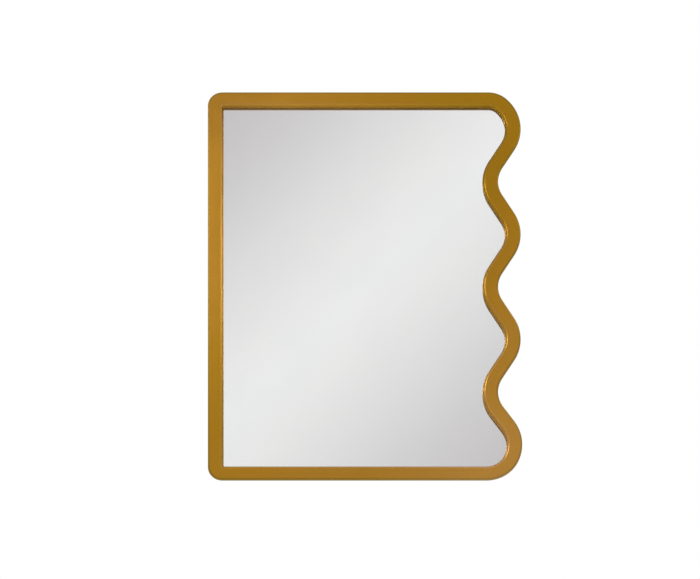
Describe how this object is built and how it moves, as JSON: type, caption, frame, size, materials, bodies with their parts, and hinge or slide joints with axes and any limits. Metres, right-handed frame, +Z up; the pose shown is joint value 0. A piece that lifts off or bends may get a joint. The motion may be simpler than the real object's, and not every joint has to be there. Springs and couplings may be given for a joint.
{
  "type": "wall mirror",
  "caption": "Framed wall mirror with three straight sides and one wavy side, held by turn buttons in a lacquered frame with hanger rings behind.",
  "frame": {"origin": "centre of the plane that the four rear bumpers press on, at mid width and mid height", "axes": "+X to the right seen from the front, towards the wavy side; +Y to the wall; +Z up"},
  "size_m": [0.67, 0.0265, 0.9],
  "materials": {
    "gold_lacquer": "metallic ochre gold satin lacquer on fibreboard",
    "clear_glass": "polished float glass",
    "silvering": "silvered, with grey protective paint behind",
    "foam": "closed-cell foam sheet",
    "hardboard": "brown hardboard",
    "beech": "plain beech",
    "zinc_steel": "zinc plated",
    "nickel_steel": "nickel plated",
    "bumper_rubber": "matt black rubber"
  },
  "bodies": {
    "frame": {"frame_left_stile": "gold_lacquer", "frame_top_rail": "gold_lacquer", "frame_bottom_rail": "gold_lacquer", "frame_wavy_stile": "gold_lacquer", "mirror_glass": "clear_glass", "mirror_silvering": "silvering", "foam_sheet": "foam", "backing_board": "hardboard", "dowel_top_left_1": "beech", "dowel_top_left_2": "beech", "dowel_top_right_1": "beech", "dowel_top_right_2": "beech", "dowel_bottom_left_1": "beech", "dowel_bottom_left_2": "beech", "dowel_bottom_right_1": "beech", "dowel_bottom_right_2": "beech", "turn_button_screw_left_upper": "zinc_steel", "turn_button_screw_left_lower": "zinc_steel", "turn_button_screw_top_left": "zinc_steel", "turn_button_screw_top_right": "zinc_steel", "turn_button_screw_bottom_left": "zinc_steel", "turn_button_screw_bottom_right": "zinc_steel", "turn_button_screw_wave_upper": "zinc_steel", "turn_button_screw_wave_lower": "zinc_steel", "hanger_strap_left": "nickel_steel", "hanger_strap_right": "nickel_steel", "hanger_screw_left_upper": "zinc_steel", "hanger_screw_left_lower": "zinc_steel", "hanger_screw_right_upper": "zinc_steel", "hanger_screw_right_lower": "zinc_steel", "wall_bumper_top_left": "bumper_rubber", "wall_bumper_top_right": "bumper_rubber", "wall_bumper_bottom_left": "bumper_rubber", "wall_bumper_bottom_right": "bumper_rubber"},
    "button_left_upper": {"turn_button_left_upper": "zinc_steel"},
    "button_left_lower": {"turn_button_left_lower": "zinc_steel"},
    "button_top_left": {"turn_button_top_left": "zinc_steel"},
    "button_top_right": {"turn_button_top_right": "zinc_steel"},
    "button_bottom_left": {"turn_button_bottom_left": "zinc_steel"},
    "button_bottom_right": {"turn_button_bottom_right": "zinc_steel"},
    "button_wave_upper": {"turn_button_wave_upper": "zinc_steel"},
    "button_wave_lower": {"turn_button_wave_lower": "zinc_steel"},
    "ring_left": {"hanger_ring_left": "nickel_steel"},
    "ring_right": {"hanger_ring_right": "nickel_steel"}
  },
  "joints": [
    {"name": "button_turn_left_upper", "type": "hinge", "parent": "frame", "child": "button_left_upper", "pos_m": [-0.3185, -0.0052, 0.23], "axis": [0, 1, 0], "continuous": true},
    {"name": "button_turn_left_lower", "type": "hinge", "parent": "frame", "child": "button_left_lower", "pos_m": [-0.3185, -0.0052, -0.23], "axis": [0, 1, 0], "continuous": true},
    {"name": "button_turn_top_left", "type": "hinge", "parent": "frame", "child": "button_top_left", "pos_m": [-0.11, -0.0052, 0.4335], "axis": [0, 1, 0], "continuous": true},
    {"name": "button_turn_top_right", "type": "hinge", "parent": "frame", "child": "button_top_right", "pos_m": [0.11, -0.0052, 0.4335], "axis": [0, 1, 0], "continuous": true},
    {"name": "button_turn_bottom_left", "type": "hinge", "parent": "frame", "child": "button_bottom_left", "pos_m": [-0.11, -0.0052, -0.4335], "axis": [0, 1, 0], "continuous": true},
    {"name": "button_turn_bottom_right", "type": "hinge", "parent": "frame", "child": "button_bottom_right", "pos_m": [0.11, -0.0052, -0.4335], "axis": [0, 1, 0], "continuous": true},
    {"name": "button_turn_wave_upper", "type": "hinge", "parent": "frame", "child": "button_wave_upper", "pos_m": [0.267, -0.0052, 0.24337], "axis": [0, 1, 0], "continuous": true},
    {"name": "button_turn_wave_lower", "type": "hinge", "parent": "frame", "child": "button_wave_lower", "pos_m": [0.267, -0.0052, -0.24494], "axis": [0, 1, 0], "continuous": true},
    {"name": "ring_swing_left", "type": "hinge", "parent": "frame", "child": "ring_left", "pos_m": [-0.3185, -0.00314, 0.38145], "axis": [1, 0, 0], "range_deg": [0, 180]},
    {"name": "ring_swing_right", "type": "hinge", "parent": "frame", "child": "ring_right", "pos_m": [0.315, -0.00314, 0.38145], "axis": [1, 0, 0], "range_deg": [0, 180]}
  ]
}
